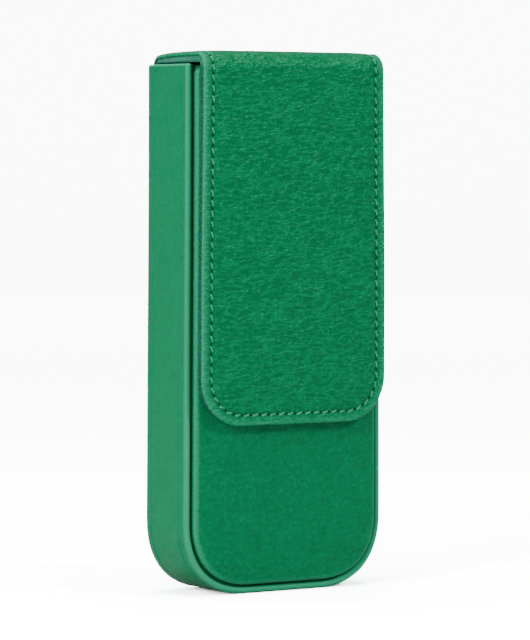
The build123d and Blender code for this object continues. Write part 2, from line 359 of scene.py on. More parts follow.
PANEL_LEATHER = leather("pebbled_green_leather", "#017045", "#077C4E", "#128C5C", "#37B586",
                        shine="#6ADFAA", grain=0.6, crease=0.2, rough=0.4, deep=0.2)
FLAP_LEATHER = leather("creased_green_leather", "#006B41", "#057A4B", "#128A5A", "#2FB382",
                       shine="#62E0A8", grain=0.5, crease=0.42, rough=0.33, deep=0.34)
GUSSET_LEATHER = leather("stretched_green_leather", "#00794E", "#048557", "#0B9163", "#46C79A",
                         shine="#26C880", grain=0.3, crease=0.1, rough=0.42, deep=0.09)
# The margin's nearly black greens are painted shade: the bottom of the narrow groove lies in shadow.
GROOVE_SHADE_LEATHER = leather("margin_leather_painted_shade", "#043D23", "#074D2D", "#0A5C38", "#0E6942",
                         shine="#46D696", grain=0.3, crease=0.1, rough=0.6, deep=0.05)
print("leathers:", PANEL_LEATHER.name, FLAP_LEATHER.name, GUSSET_LEATHER.name, GROOVE_SHADE_LEATHER.name)

# %% [markdown]
# ### Microsuede, thread and the hidden layers
#
# The lining and the tray are brushed microfibre: a nap of fibres a few hundredths of a millimetre
# thick, which lights up at grazing angles, so the shader gets sheen and no gloss. The stitching is
# bonded polyester thread of about half a millimetre. Board, foam and steel stay out of sight, but
# they get honest finishes too.

# %% Suede
def suede(name, dark, mid, light, nap):
    """Short brushed fibres: fine speckle in colour and bump over soft brushed patches, and a tone
    along edges from `edge`, partly wear and partly painted light: paler, or darker where it is below 0.
    """
    material, tree, out = new_material(name)
    flat = add(tree, "ShaderNodeAttribute", attribute_name="lay").outputs["Vector"]
    wear_and_painted_light = add(tree, "ShaderNodeAttribute", attribute_name="edge").outputs["Fac"]
    speck = add(tree, "ShaderNodeTexNoise", {"Scale": 1000 / 0.7, "Detail": 3.0, "Roughness": 0.7},
                {"Vector": flat})
    patch = add(tree, "ShaderNodeTexNoise", {"Scale": 1000 / 14.0, "Detail": 3.0}, {"Vector": flat})
    tone = add(tree, "ShaderNodeMath", {1: 0.26, 2: -0.13}, {0: patch.outputs[0]}, operation="MULTIPLY_ADD")
    tone = add(tree, "ShaderNodeMath", {}, {0: speck.outputs[0], 1: tone.outputs[0]}, operation="ADD")
    tone = add(tree, "ShaderNodeMath", {1: 0.25}, {0: wear_and_painted_light, 2: tone.outputs[0]}, operation="MULTIPLY_ADD")
    base = add(tree, "ShaderNodeValToRGB", links={0: tone.outputs[0]},
               stops=[(0.28, dark), (0.5, mid), (0.74, light)])
    bump = add(tree, "ShaderNodeBump", {"Strength": 0.7, "Distance": 0.0004}, {"Height": speck.outputs[0]})
    cloth = add(tree, "ShaderNodeBsdfPrincipled",
                {"Roughness": 0.95, "Specular IOR Level": 0.1, "Specular Tint": linear("#6FD0B0"),
                 "Sheen Weight": nap, "Sheen Roughness": 0.45, "Sheen Tint": linear("#86D9BC")},
                {"Base Color": base.outputs[0], "Normal": bump.outputs[0]})
    tree.links.new(cloth.outputs[0], out.inputs[0])
    return material


SUEDE = suede("teal_microsuede", "#17503F", "#297560", "#4F9A84", nap=0.08)

# %% Thread, board, foam and steel
def plain(name, dark, light, scale_mm, rough, metal=0.0, bump_mm=0.05, stretch=(1.0, 1.0, 1.0),
          tint="#FFFFFF"):
    """A finish of two tones with a noise of the given size in millimetres for colour and bump."""
    material, tree, out = new_material(name)
    where = add(tree, "ShaderNodeTexCoord").outputs["Object"]
    turned = add(tree, "ShaderNodeMapping", {"Scale": stretch}, {"Vector": where})
    grain = add(tree, "ShaderNodeTexNoise", {"Scale": 1000 / scale_mm, "Detail": 4.0, "Roughness": 0.6},
                {"Vector": turned.outputs[0]})
    base = add(tree, "ShaderNodeValToRGB", links={0: grain.outputs[0]}, stops=[(0.3, dark), (0.7, light)])
    bump = add(tree, "ShaderNodeBump", {"Strength": 0.6, "Distance": bump_mm * MM},
               {"Height": grain.outputs[0]})
    body = add(tree, "ShaderNodeBsdfPrincipled",
               {"Roughness": rough, "Metallic": metal, "Specular Tint": linear(tint)},
               {"Base Color": base.outputs[0], "Normal": bump.outputs[0]})
    tree.links.new(body.outputs[0], out.inputs[0])
    return material


THREAD = plain("green_bonded_thread", "#148258", "#4DB48F", 0.35, 0.45, bump_mm=0.08, tint="#8FF0C4")
HOLE = plain("needle_hole_shadow", "#064629", "#0A5634", 0.4, 0.95, tint="#00391F")
BOARD = plain("grey_binders_board", "#6E6A62", "#8C877D", 1.2, 0.9, bump_mm=0.08)
FOAM = plain("open_cell_foam", "#B9B7AE", "#D8D6CE", 0.6, 0.95, bump_mm=0.15)
STEEL = plain("rolled_steel", "#8E8F90", "#A9AAAB", 0.5, 0.32, metal=1.0, bump_mm=0.01,
              stretch=(1.0, 1.0, 12.0))

hidden = {"board": BOARD, "core": BOARD, "foam": FOAM, "magnet": STEEL, "keeper": STEEL,
          "leather": GUSSET_LEATHER, "suede": SUEDE, "lining": SUEDE, "tray": SUEDE, "cover": SUEDE}
for name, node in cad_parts.items():
    finish = next(material for word, material in hidden.items() if word in name)
    node.data.materials.clear()
    node.data.materials.append(finish)
print("finishes set on", len(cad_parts), "solids")

# %% [markdown]
# ## The gusset
#
# On the real case this is a band of board 22 mm wide, bent into a U, with leather glued round it
# and turned in over both rims. The turned edge is stiff, so the leather creases along a line about
# 3.5 mm behind each rim. It could be a solidified strip, but the crease, the full round rims and
# the soft top ends all belong to one cross-section, so that section is carried along the U.

# %% The gusset's leather
def strip_section(half_depth, thick, crease_at, crease_deep, count=11):
    """A closed cross-section, as inset and depth: round rims, and creases on the outer side.

    The outer side runs from rim to rim at inset 0, dips by a narrow bell curve at each crease, and
    the rims are half circles of half the thickness."""
    r = thick / 2
    across = np.concatenate([np.linspace(-1, -0.93, 3), np.linspace(-0.9, -0.45, 22),
                             np.linspace(-0.4, 0.4, 7), np.linspace(0.45, 0.9, 22),
                             np.linspace(0.93, 1, 3)]) * (half_depth - r)
    dip = crease_deep * sum(np.exp(-((across - side * (half_depth - crease_at)) / 0.38) ** 2)
                            for side in (-1, 1))
    swell = -0.12 * np.cos(np.pi * across / (2 * half_depth)) ** 2
    turn = np.linspace(0, np.pi, count + 2)[1:-1]
    inset = np.concatenate([dip + swell + 0.12, r - r * np.cos(turn), np.full(9, thick),
                            r + r * np.cos(turn)])
    depth = np.concatenate([across, half_depth - r + r * np.sin(turn),
                            np.linspace(1, -1, 9) * (half_depth - r), r - half_depth - r * np.sin(turn)])
    return inset, depth


def loop_normals(inset, depth):
    """Unit directions into a closed loop, from the points on either side of each point."""
    tangent = np.stack([np.roll(inset, -1) - np.roll(inset, 1), np.roll(depth, -1) - np.roll(depth, 1)], 1)
    tangent /= np.linalg.norm(tangent, axis=1)[:, None]
    return tangent[:, 1], -tangent[:, 0]


def rounded_heights(first, top, round_end):
    """Heights up a side, the last six of them on a quarter circle for an end that is rounded off."""
    turned = top - round_end * (1 - np.sin(np.linspace(0, np.pi / 2, 6)))
    return np.concatenate([np.linspace(first, top - round_end, 46)[:-1], turned])


def end_shrink(v, top, round_end):
    """How far a section is drawn in near its end: nine tenths of r - sqrt(r^2 - t^2)."""
    t = np.clip((v - (top - round_end)) / round_end, 0, 1)
    return 0.9 * round_end * (1 - np.sqrt(1 - t**2))


def swept_strip(name, half, radius, low, top, middle, section, round_end, material, edge=None):
    """Carries a closed section along the U from one top end to the other.

    Near each end the section shrinks along its own normals, which rounds the end off, and a flat
    cap closes it."""
    inset, depth = section
    shape = outline(half, radius, rounded_heights(radius, top, round_end) - low)
    x, v = rings(shape, inset, np.zeros(len(inset)), 0, 0)
    in_i, in_d = loop_normals(inset, depth)
    if (in_i * (inset.mean() - inset) + in_d * (depth.mean() - depth)).sum() < 0:
        in_i, in_d = -in_i, -in_d
    shrink = end_shrink(v, top - low, round_end)
    x = x - shrink * in_i[:, None] * shape[1][None, :, 0]
    y = middle + depth[:, None] + shrink * in_d[:, None]
    # Each top end is painted up to 1.7 times paler over its last 0.8 mm: a painted highlight on the rounded
    # top edge.
    wear_and_painted_light = None if edge is None else np.maximum(edge[:, None], 1.7 * np.clip(1 - (top - low - v) / 0.8, 0, 1))
    return shell(name, x, v, y, lambda a, b, c: foot(np.stack([a, c, b + low], -1)), material,
                 closed=False, ring_rows=True, edge=wear_and_painted_light)


half_depth = (RIM_BACK - RIM_FRONT) / 2
gusset_mid = (RIM_BACK + RIM_FRONT) / 2
section = strip_section(half_depth, RIM_T, 3.5, 0.16)
# Paler within 1.5 mm of each rim: partly wear, partly a painted highlight on the round rims.
near_rim = np.clip(1 - (half_depth - np.abs(section[1])) / 1.5, 0, 1)
gusset = swept_strip("gusset_wrap", CASE_HALF, CORNER_R, 0.0, CASE_TOP, gusset_mid, section, 0.8,
                     GUSSET_LEATHER, edge=near_rim)
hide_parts("gusset_leather")
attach(gusset, "case")

# %% [markdown]
# Between the rim and each panel runs a groove. Its bottom is the margin of the gusset's leather,
# turned in and glued down behind the panel, so a narrow ribbon of leather closes it. The ribbon's
# leather is coloured nearly black green: painted shade of the deep, narrow groove.

# %% The turned-in margins
def ribbon_section(inset_out, inset_in, thick):
    """A closed flat section with round edges, as inset and depth: two straight sides joined by
    half circles of half the thickness."""
    turn = np.linspace(0, np.pi, 6)
    r = thick / 2
    inset = np.concatenate([inset_in - r + r * np.sin(turn), inset_out + r - r * np.sin(turn)])
    depth = np.concatenate([-r * np.cos(turn), r * np.cos(turn)])
    return inset, depth


for word, margin_y in (("front", panel_high[1] - 0.2), ("back", span("back_leather")[0][1] + 0.2)):
    ribbon = ribbon_section(inset_out=RIM_T - 0.3, inset_in=RIM_T + GROOVE + 0.4, thick=0.34)
    margin = swept_strip(f"{word}_turned_margin", CASE_HALF, CORNER_R, 0.0, CASE_TOP - 0.3, margin_y,
                         ribbon, 0.1, GROOVE_SHADE_LEATHER)
    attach(margin, "case")

# %% [markdown]
# ## The front panel
#
# The front is a board with 0.7 mm of foam under leather that is pulled over the edge, so the panel
# swells quickly near its edge and then levels off. A cloth simulation would give nearly the same,
# but so thin a pad has no folds to find, so the swell is written down: the edge is a quarter round,
# and the face rises with the distance from the edge.

# %% A padded panel as rings
def face_rows(edge_r, back, last, count=8):
    """Insets, pulls and depths of a panel's rows, from the middle of its back face round the edge
    to the middle of its front. Depth 0 is where the edge's quarter round meets the face."""
    turn = np.linspace(0, np.pi / 2, count)
    insets = np.concatenate([[last, last, 1.2, 0.5, 0.12, 0.0], edge_r * (1 - np.cos(turn)),
                             np.linspace(edge_r, last, 12)[1:], np.full(7, last)])
    depths = np.concatenate([[back, back, back, back, back + 0.12, back + 0.4],
                             -edge_r * (1 - np.sin(turn)), np.zeros(18)])
    pulls = np.concatenate([[1.0, 0.0], np.zeros(4 + count + 11), [0.08, 0.2, 0.36, 0.54, 0.72, 0.88, 1.0]])
    return insets, pulls, depths


def padded_panel(name, half, low, top, radius, top_radius, y_edge, out, rows, swell, reach, material):
    """A padded panel closed all round: its face swells by `swell` within `reach` of the edge."""
    insets, pulls, depths = rows
    back_rows = 6
    heights = np.linspace(radius, top - low - top_radius, 44)
    shape = outline(half, radius, heights, top_radius)
    x, v = rings(shape, insets, pulls, half, top - low - half)
    inside = edge_distance(x, v, half, radius)
    rise = ease(inside / reach) * ease((top - low - v) / reach)
    front = (np.arange(len(insets)) >= back_rows)[:, None]
    n = depths[:, None] + front * (swell * rise + 0.05 * rise * waves(x, v, 16, 3))
    # The face within 1.6 mm of the edge is paler: partly wear, partly a painted highlight on the rounded
    # edge.
    wear_and_painted_light = front * np.clip(1 - inside / 1.6, 0, 1)
    return shell(name, x, v, n, lambda a, b, c: foot(np.stack([a, y_edge + out * c, b + low], -1)),
                 material, closed=True, edge=wear_and_painted_light)


PANEL_R = CORNER_R - RIM_T - GROOVE
front_edge_y = RIM_FRONT - PANEL_PROUD
back_depth = front_edge_y - panel_high[1]
front = padded_panel("front_padded_panel", PANEL_HALF, PANEL_LOW, PANEL_TOP, PANEL_R, 3.0, front_edge_y, -1,
                     face_rows(1.15, back_depth, 2.8), front_edge_y - panel_low[1], 13.0, PANEL_LEATHER)
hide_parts("front_leather", "front_foam")
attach(front, "case")

# %% [markdown]
# ## The spine's line
#
# One hide makes the flap, the spine and the back. On the workbench it lies flat, so all of it is
# worked out flat, as x across, s along and n out of the hide, and then bent: s is the way
# travelled along the case's side view, from the flap's lower end up, over the mouth and down the
# back. The line has straight runs joined by arcs, as the wooden last that shapes the spine has.

# %% A line with rounded corners
def rounded_line(corners, radii, step=0.12):
    """Samples a line of straight runs joined by arcs, every `step` millimetres or less.

    An arc of radius r that turns by a starts r * tan(a / 2) before its corner. Each sample's
    direction is the run's own, or turns evenly through the arc, and the normal is that direction
    turned a quarter to the left. Returns places, normals and the length travelled."""
    corners = [np.array(c, float) for c in corners]
    places, ways, start = [], [], corners[0]
    for before, corner, after, r in zip(corners, corners[1:], corners[2:], radii):
        d1, d2 = corner - before, after - corner
        d1, d2 = d1 / np.linalg.norm(d1), d2 / np.linalg.norm(d2)
        turn = np.arctan2(d1[0] * d2[1] - d1[1] * d2[0], d1 @ d2)
        cut = r * np.tan(abs(turn) / 2)
        stop = corner - d1 * cut
        count = max(2, int(np.linalg.norm(stop - start) / step))
        t = np.linspace(0, 1, count)[:-1, None]
        places.append(start + (stop - start) * t)
        ways.append(np.tile(d1, (count - 1, 1)))
        side = np.array([-d1[1], d1[0]]) * np.sign(turn)
        bend_a = np.linspace(0, turn, max(3, int(abs(turn) * r / step)))[:-1, None]
        centre = stop + side * r
        turned = np.concatenate([np.cos(bend_a) * d1[0] - np.sin(bend_a) * d1[1],
                                 np.sin(bend_a) * d1[0] + np.cos(bend_a) * d1[1]], 1)
        out = np.stack([turned[:, 1], -turned[:, 0]], 1) * np.sign(turn)
        places.append(centre + out * r)
        ways.append(turned)
        start = corner + d2 * cut
    last = corners[-1]
    count = max(2, int(np.linalg.norm(last - start) / step))
    t = np.linspace(0, 1, count)[:, None]
    places.append(start + (last - start) * t)
    ways.append(np.tile((last - start) / np.linalg.norm(last - start), (count, 1)))
    places, ways = np.concatenate(places), np.concatenate(ways)
    travelled = np.concatenate([[0], np.cumsum(np.linalg.norm(np.diff(places, axis=0), axis=1))])
    return places, np.stack([-ways[:, 1], ways[:, 0]], 1), travelled


LINE, LINE_OUT, LINE_S = rounded_line(
    [(FLAP_FACE, FLAP_LOW), (FLAP_FACE, LINE_TOP), (gusset_mid + CREST_Y, LINE_TOP - CREST_FALL),
     (BACK_FACE, LINE_TOP - BACK_FALL), (BACK_FACE, PANEL_LOW)], SPINE_RADII)
S_END = LINE_S[-1]
S_SPLIT = float(np.interp(gusset_mid, LINE[LINE[:, 1] > MOUTH_Z][:, 0], LINE_S[LINE[:, 1] > MOUTH_Z]))
# The hide counts as over the mouth from 2 mm below the gusset's top upwards.
on_top = LINE[:, 1] > CASE_TOP - 2.0
S_FOLD = float(LINE_S[on_top][0])
S_BACK = float(LINE_S[on_top][-1])


def hide_width(s):
    """The hide is cut 2% wider than its pattern at the flap's lower end, where it is pulled
    round the thickest part, and comes in to the pattern's width over the spine and the back."""
    return 1.02 - 0.02 * smooth((s - 35) / 75)


def bend(x, s, n):
    """Puts points of the flat hide on the case: the line's place at s plus n times its normal,
    and x times the width that the hide is cut to there."""
    x = x * hide_width(s)
    y = np.interp(s, LINE_S, LINE[:, 0]) + n * np.interp(s, LINE_S, LINE_OUT[:, 0])
    z = np.interp(s, LINE_S, LINE[:, 1]) + n * np.interp(s, LINE_S, LINE_OUT[:, 1])
    return np.stack(np.broadcast_arrays(x, y, z), -1)


print(f"hide is {S_END:.1f} mm long, splits at {S_SPLIT:.1f}, bends from {S_FOLD:.1f} to {S_BACK:.1f}")

# %% [markdown]
# ## The flap's leather
#
# The flap is leather over thin foam, turned under at the edge, and sewn 3.2 mm in from the edge.
# The thread pulls the leather down into a channel, outside it stands a rounded welt, and inside it
# the foam lifts the face. The skin is cut in two at the top of the spine, out of sight on the
# stiff part, because each half bends over one fold of the case.

# %% The flap and the front half of the spine
SEWN_IN = 3.2
SKIN_T = FLAP_SEAM - FLAP_FACE
LAST_INSET = 11.0


def seam_insets(last):
    """Insets of the rows that cross the seam's channel closely and the face beyond it widely."""
    return np.concatenate([np.linspace(1.0, 5.4, 23)[1:], np.linspace(5.4, last, 7)[1:]])


def welt_rows(last):
    """Insets, pulls and depths of the hide's rows from its inner face round the welt to its face."""
    turn = np.linspace(-np.pi / 2, np.pi / 2, 13)
    face = seam_insets(last)
    insets = np.concatenate([[last, last, 4.0, 1.8], 0.95 * (1 - np.cos(turn)), face, np.full(5, last)])
    depths = np.concatenate([np.full(4, -SKIN_T), -0.85 + 0.75 * np.sin(turn), np.full(len(face) + 5, -0.1)])
    pulls = np.concatenate([[1.0], np.zeros(3 + 13 + len(face)), [0.15, 0.35, 0.6, 0.8, 1.0]])
    return insets, pulls, depths


SEAM_R = FLAP_R - SEWN_IN
SEAM_CORNER = FLAP_HALF - FLAP_R
SEAM_HALF = SEAM_CORNER + SEAM_R * np.pi / 2 + S_SPLIT - FLAP_R
STITCHES = 2 * int(SEAM_HALF / 3.1)
PITCH = 2 * SEAM_HALF / STITCHES


def seam_distance(x, s):
    """The way along the seam from the middle of the flap's lower end to a point: straight along
    the base, then the seam's radius times the angle round the corner, then up the side."""
    a = np.abs(x)
    angle = np.arctan2(np.maximum(a - SEAM_CORNER, 0), np.maximum(FLAP_R - s, 1e-9))
    round_way = SEAM_CORNER + SEAM_R * angle
    side_way = SEAM_CORNER + SEAM_R * np.pi / 2 + s - FLAP_R
    return np.where(s >= FLAP_R, side_way, np.where(a <= SEAM_CORNER, a, round_way))


def hide_height(inside, x, s):
    """The lift of the hide's face, in millimetres: a channel under the stitches, a foam pad
    within it, a pucker that is deepest at each needle hole, and a slow unevenness."""
    channel = -0.3 * np.exp(-((inside - SEWN_IN) / 0.62) ** 2)
    pad = 0.24 * ease((inside - SEWN_IN) / 7.0)
    at_hole = np.cos(np.pi * seam_distance(x, s) / PITCH) ** 2
    pucker = -0.14 * np.exp(-((inside - SEWN_IN) / 0.95) ** 2) * at_hole
    return channel + pad + pucker + 0.05 * ease(inside / 6) * waves(x, s, 14, 8)


# Rows 4 to 16 are the welt, and the face starts with the last of them.
insets, pulls, depths = welt_rows(LAST_INSET)
heights = stretches([FLAP_R, S_FOLD - 2, S_FOLD + 14, S_SPLIT], [160, 40, 10])
shape = outline(FLAP_HALF, FLAP_R, heights, corner=30, base=60)
x, s = rings(shape, insets, pulls, FLAP_HALF, S_SPLIT)
inside = edge_distance(x, s, FLAP_HALF, FLAP_R)
face = (np.arange(len(insets)) >= 16)[:, None]
n = depths[:, None] + face * hide_height(inside, x, s)
# The welt and the face within 2.6 mm of the edge are paler: partly wear, partly a painted highlight on the
# rounded welt.
wear_and_painted_light = (np.arange(len(insets)) >= 4)[:, None] * np.clip(1 - inside / 2.6, 0, 1)
flap = shell("flap_hide", x, s, n, bend, FLAP_LEATHER, closed=False, edge=wear_and_painted_light, lay=(x, s, n))
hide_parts("flap_leather", "flap_foam", "spine_leather")
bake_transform(flap)

# %% [markdown]
# ## The back
#
# The same hide goes down the back over foam and board, with a round edge like the front's. Over
# the spine it is as wide as the flap and carries the same channel, which fades out on the back.
# The hinge makes a half turn: the leather goes from the spine over the back edge to the case.

# %% The back and the rear half of the spine
BACK_HALF = span("back_leather")[1][0]
V_SPINE = S_END - S_BACK


def back_rows(last):
    """Rows from the middle of the inner face round the edge to the middle of the outer face."""
    turn = np.linspace(0, np.pi / 2, 9)
    face = seam_insets(last)
    insets = np.concatenate([[last, last, 4.0, 1.4, 0.5, 0.12, 0.0], 1 - np.cos(turn), face,
                             np.full(5, last)])
    levels = np.concatenate([[0, 0, 0, 0, 0, 0.05, 0.3], 0.35 + 0.65 * np.sin(turn), np.ones(len(face) + 5)])
    pulls = np.concatenate([[1.0], np.zeros(6 + 9 + len(face)), [0.15, 0.35, 0.6, 0.8, 1.0]])
    return insets, pulls, levels


# Rows 7 to 15 are the rounded edge, and the face starts with the last of them.
insets, pulls, levels = back_rows(LAST_INSET)
heights = stretches([PANEL_R, V_SPINE - 3, V_SPINE + 6, S_END - S_SPLIT], [42, 24, 5])
shape = outline(BACK_HALF, PANEL_R, heights)
x, v = rings(shape, insets, pulls, BACK_HALF, S_END - S_SPLIT)
widening = smooth((v - V_SPINE + 4) / 5)
x = x * (1 + (FLAP_HALF / BACK_HALF - 1) * widening)
inside = edge_distance(x, v, BACK_HALF + (FLAP_HALF - BACK_HALF) * widening, PANEL_R)
over = smooth((v - V_SPINE + 3) / 4)
deep = -(2.6 * (1 - over) + SKIN_T * over)
face = (np.arange(len(insets)) >= 15)[:, None]
spine_lift = hide_height(inside, x, S_END - v)
panel_lift = 0.22 * ease(inside / 9) + 0.06 * ease(inside / 9) * waves(x, v, 18, 5)
n = deep * (1 - levels[:, None]) - 0.1 * levels[:, None] * smooth((v - V_SPINE + 8) / 8)
n = n + face * (spine_lift * over + panel_lift * (1 - over))
# The rounded edge and the face within 2 mm of it are paler: partly wear, partly a painted highlight on the
# round edge.
wear_and_painted_light = (np.arange(len(insets)) >= 7)[:, None] * np.clip(1 - inside / 2.0, 0, 1)
back = shell("back_hide", x, v, n, lambda a, b, c: foot(bend(a, S_END - b, c)), FLAP_LEATHER, closed=False,
             edge=wear_and_painted_light, lay=(x, S_END - v, n))
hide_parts("back_leather", "back_foam")
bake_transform(back)

# %% [markdown]
# ## The suede lining
#
# Under the flap and the spine lies microsuede over a thin board, its edge set back a little from
# the leather's, so that a dark seam shows between the two. Along the flap's cut edge the suede is
# darker, partly its own cut edge and partly painted shade of the gap under the flap, and over the
# spine its edge is paler.
# Over the mouth its underside is level and it thins towards the back, as the side view shows.

# %% The lining of the flap and the spine
LINING_T = FLAP_IN - FLAP_SEAM


def lining_depth(s):
    """How deep the lining's inner face lies under the hide's face at s. The inner face lies on
    the flap's inner plane and on the mouth's level; the depth to a plane is the distance to it
    over the normal's share towards it, the larger of the two counts, and 0.45 mm is the least."""
    y, z = np.interp(s, LINE_S, LINE[:, 0]), np.interp(s, LINE_S, LINE[:, 1])
    to_flap = (FLAP_IN - y) / np.maximum(-np.interp(s, LINE_S, LINE_OUT[:, 0]), 0.15)
    to_mouth = (z - MOUTH_Z) / np.maximum(np.interp(s, LINE_S, LINE_OUT[:, 1]), 0.15)
    return np.clip(np.maximum(to_flap, to_mouth), SKIN_T + 0.45, SKIN_T + LINING_T)


def lining_rows(last):
    """Rows from the middle of the face against the hide, round the edge, to the middle of the
    inner face. The level is 0 against the hide and 1 on the inner face."""
    turn = np.linspace(-np.pi / 2, np.pi / 2, 11)
    insets = np.concatenate([[last, last, 3.0], 0.3 + 0.5 * (1 - np.cos(turn)), [1.4, 3.0, 6.0, last],
                             np.full(4, last)])
    levels = np.concatenate([np.zeros(3), 0.5 + 0.5 * np.sin(turn), np.ones(8)])
    pulls = np.concatenate([[1.0], np.zeros(2 + 11 + 4), [0.3, 0.6, 0.8, 1.0]])
    return insets, pulls, levels


insets, pulls, levels = lining_rows(LAST_INSET)
heights = stretches([FLAP_R, S_FOLD - 2, S_FOLD + 14, S_SPLIT], [36, 40, 8])
shape = outline(FLAP_HALF, FLAP_R, heights)
x, s = rings(shape, insets, pulls, FLAP_HALF, S_SPLIT)
inside = edge_distance(x, s, FLAP_HALF, FLAP_R)
n = -(SKIN_T + levels[:, None] * (lining_depth(s) - SKIN_T))
n = n + 0.06 * (levels[:, None] > 0.99) * (ease((inside - 1) / 5) - 1)
# Along the flap's edge the `edge` value is -0.9: darker, partly the cut edge's own colour and partly painted
# shade of the gap under the flap. Over the spine it is 0.6, a paler edge.
lining = shell("flap_suede_lining", x, s, n, bend, SUEDE, closed=False,
               edge=np.clip(1 - inside / 1.2, 0, 1) * (1.5 * smooth((s - S_FOLD) / 4) - 0.9), lay=(x, s, n))
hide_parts("flap_suede", "spine_suede")
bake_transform(lining)

# %% [markdown]
# Behind the middle of the spine the lining runs on, bends down inside the hide and is turned over
# the top of the back board. It is its own piece.

# %% The lining's rear end, turned over the back board
# It ends 1.25 mm below the gusset's top, on the outer face of the back panel's own lining.
behind = LINE_S > S_SPLIT
S_TURN = float(np.interp(1.25 - CASE_TOP, -LINE[behind][:, 1], LINE_S[behind]))
along = np.concatenate([np.linspace(S_SPLIT, S_BACK - 9, 6)[:-1], np.linspace(S_BACK - 9, S_TURN, 36)])
turn = np.linspace(-np.pi / 2, np.pi / 2, 9)
half_row = FLAP_HALF - 0.3 - 0.4 * (1 - np.cos(turn))
levels = 0.5 + 0.5 * np.sin(turn)
across = np.concatenate([[0.0], half_row, [FLAP_HALF - 2, 0.0, 2 - FLAP_HALF], -half_row[::-1]])
levels = np.concatenate([[0.0], levels, [1.0, 1.0, 1.0], levels[::-1]])
depth = lining_depth(along)
tail = smooth((along - (S_TURN - 2.6)) / 2.0)
tucked_y = span("back_lining")[1][1] + 0.045
depth = depth + tail * (BACK_FACE - tucked_y - depth)
x = np.tile(across[:, None], (1, len(along)))
s = np.tile(along[None], (len(across), 1))
n = -(SKIN_T + levels[:, None] * (depth[None] - SKIN_T))
rear = shell("spine_suede_turn", x, s, n, bend, SUEDE, closed=False, ring_rows=True, lay=(x, s, n),
             edge=np.broadcast_to((np.abs(across) > FLAP_HALF - 1)[:, None], x.shape) * 0.6)
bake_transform(rear)

# %% [markdown]
# ## Stitching
#
# The seam is a lockstitch: on top lie short slanted runs of thread, each from one needle hole to
# the next, about 3.1 mm apart. One stitch is a little curved rod that dives into the leather at
# both ends, and the whole seam is that rod repeated along the path, worked out flat and then bent
# with the hide. The leather's mesh isn't pierced, so a flat dark lens stands for each needle hole.

# %% The seam's path and its stitches
def seam_path(last, half, radius):
    """Points along the seam on the flat hide, from the height `last` down the left side, round the
    flap's bottom and up the right side."""
    r = radius - SEWN_IN
    arc = np.linspace(0, np.pi / 2, 60)
    left = np.stack([np.full(400, SEWN_IN - half), np.linspace(last, radius, 400)], 1)
    knee = np.stack([radius - half - r * np.cos(arc), radius - r * np.sin(arc)], 1)
    base = np.stack([np.linspace(radius - half, half - radius, 200), np.full(200, SEWN_IN)], 1)
    flip = np.array([-1.0, 1.0])
    points = np.concatenate([left, knee, base, knee[::-1] * flip, left[::-1] * flip])
    keep = np.concatenate([[True], np.linalg.norm(np.diff(points, axis=0), axis=1) > 1e-6])
    return points[keep]


def along_path(points, where):
    """Places and unit directions at the given distances along a line of points."""
    travelled = np.concatenate([[0], np.cumsum(np.linalg.norm(np.diff(points, axis=0), axis=1))])
    at = np.stack([np.interp(where, travelled, points[:, i]) for i in (0, 1)], 1)
    ahead = np.stack([np.interp(where + 0.3, travelled, points[:, i]) for i in (0, 1)], 1)
    behind = np.stack([np.interp(where - 0.3, travelled, points[:, i]) for i in (0, 1)], 1)
    way = (ahead - behind) / np.linalg.norm(ahead - behind, axis=1)[:, None]
    return at, way


def stitch_count(points):
    """How many stitches a path of points takes."""
    return round(np.linalg.norm(np.diff(points, axis=0), axis=1).sum() / PITCH)


def beside(at, way, ahead, aside):
    """Points that lie `ahead` along and `aside` across the direction at each place of a path."""
    at, way = at[:, None, None], way[:, None, None]
    x = at[..., 0] + ahead * way[..., 0] - aside * way[..., 1]
    s = at[..., 1] + ahead * way[..., 1] + aside * way[..., 0]
    return x, s


def flap_surface(x, s):
    """The height of the hide's face at a point of the flap or the spine."""
    return -0.1 + hide_height(edge_distance(x, s, FLAP_HALF, FLAP_R), x, s)


def stitches(name, points):
    """One rod per stitch: along it t goes from -1 to 1, its height is an arch that ends below the
    leather, its width swells in the middle, and it slants by about 19 degrees across the seam."""
    count = stitch_count(points)
    rng = np.random.default_rng(4)
    at, way = along_path(points, (np.arange(count) + 0.5) * PITCH)
    slant = np.radians(19) + rng.normal(0, 0.04, count)
    way = np.stack([way[:, 0] * np.cos(slant) - way[:, 1] * np.sin(slant),
                    way[:, 0] * np.sin(slant) + way[:, 1] * np.cos(slant)], 1)
    t, turn = np.linspace(-1, 1, 7), np.linspace(0, 2 * np.pi, 7)[:-1]
    reach = 1.2 * (1 + rng.normal(0, 0.03, count))
    thick = 0.33 * np.sqrt(np.clip(1.02 - t**6, 0.02, 1))
    arch = 0.15 - 0.5 * t**4
    a = (t[:, None] * np.ones(6))[None] * reach[:, None, None]
    b = (thick[:, None] * np.cos(turn))[None]
    up = (arch[:, None] + 0.8 * thick[:, None] * np.sin(turn))[None]
    x, s = beside(at, way, a, b)
    n = up + flap_surface(x, s)
    ring = cells(7, 6, closed_columns=True)
    caps = [list(range(6)), list(range(36, 42))[::-1]]
    faces = (ring[None] + (np.arange(count) * 42)[:, None, None]).reshape(-1, 4).tolist()
    faces += [[i + k * 42 for i in cap] for k in range(count) for cap in caps]
    return make_piece(name, bend(x, s, n), np.stack([x, s, n], -1), faces, THREAD)


